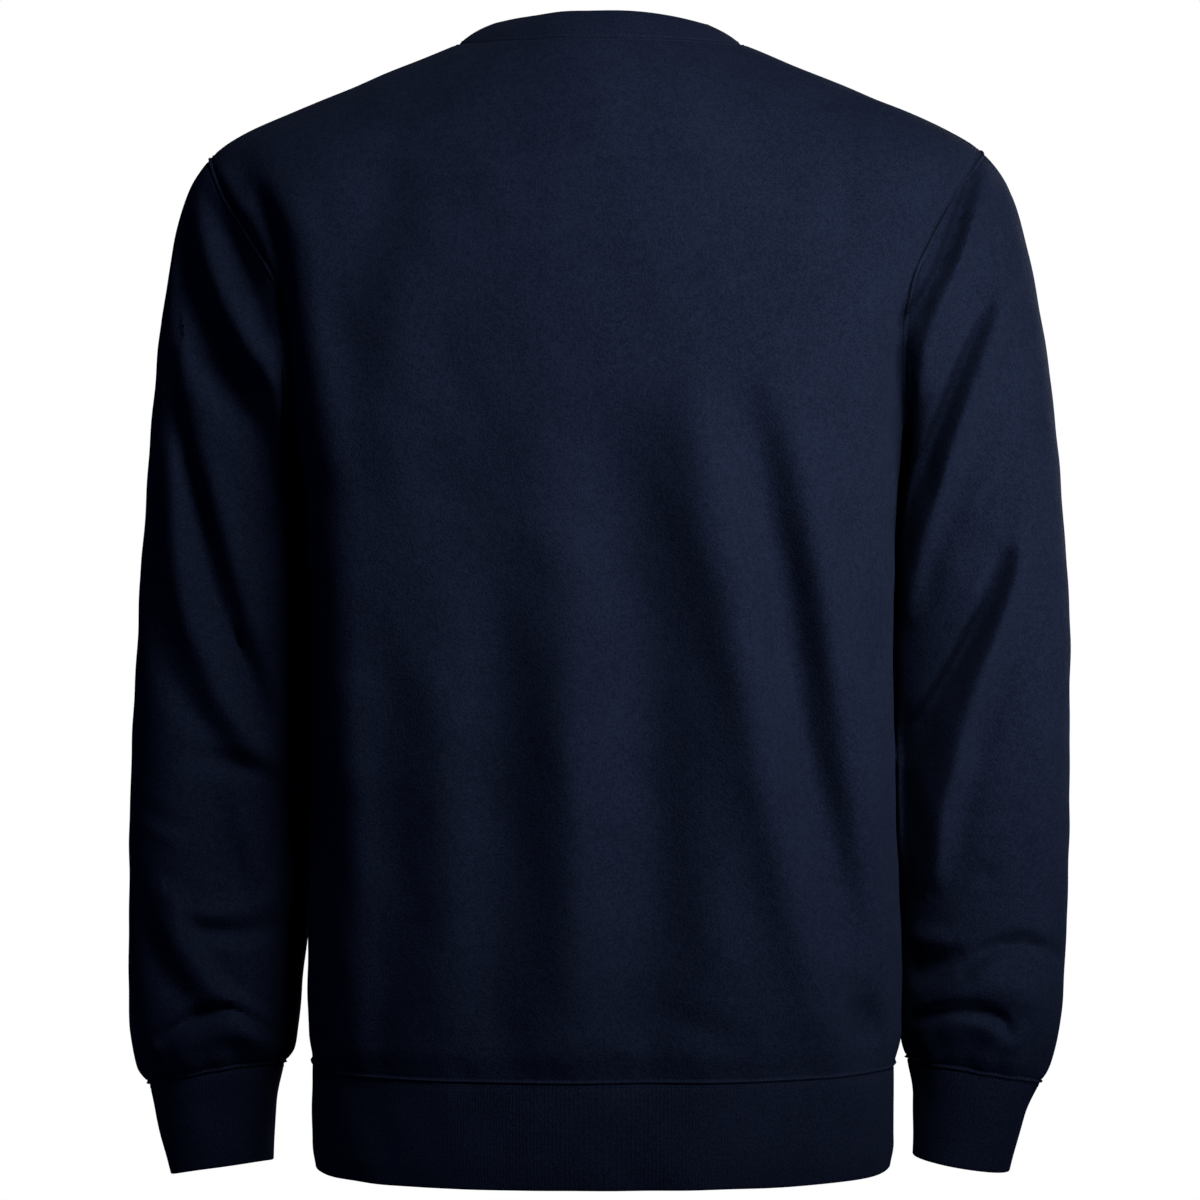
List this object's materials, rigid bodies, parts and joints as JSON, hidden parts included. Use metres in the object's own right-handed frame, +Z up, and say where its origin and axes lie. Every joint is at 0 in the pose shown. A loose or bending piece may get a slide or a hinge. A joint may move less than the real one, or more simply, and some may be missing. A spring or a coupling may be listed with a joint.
{
  "type": "crewneck sweatshirt",
  "caption": "Long-sleeved crewneck sweatshirt of brushed fleece with ribbed collar, cuffs and waistband, filled out as worn and hollow.",
  "frame": {"origin": "middle of the neck opening, level with the high points of the shoulders, where the wearer's neck and shoulders hold the garment", "axes": "+Z up along the body towards the neck; -Y the way the wearer faces, so the back of the garment faces +Y; +X towards the wearer's left sleeve"},
  "size_m": [0.5951, 0.2576, 0.7283],
  "materials": {
    "fleece": "matte brushed cotton fleece, navy",
    "rib": "matte fine rib knit, navy"
  },
  "bodies": {
    "root": {"back": "fleece", "front": "fleece", "sleeve_left": "fleece", "sleeve_right": "fleece", "cuff_left": "rib", "cuff_right": "rib", "waistband": "rib", "collar": "rib"}
  },
  "joints": []
}
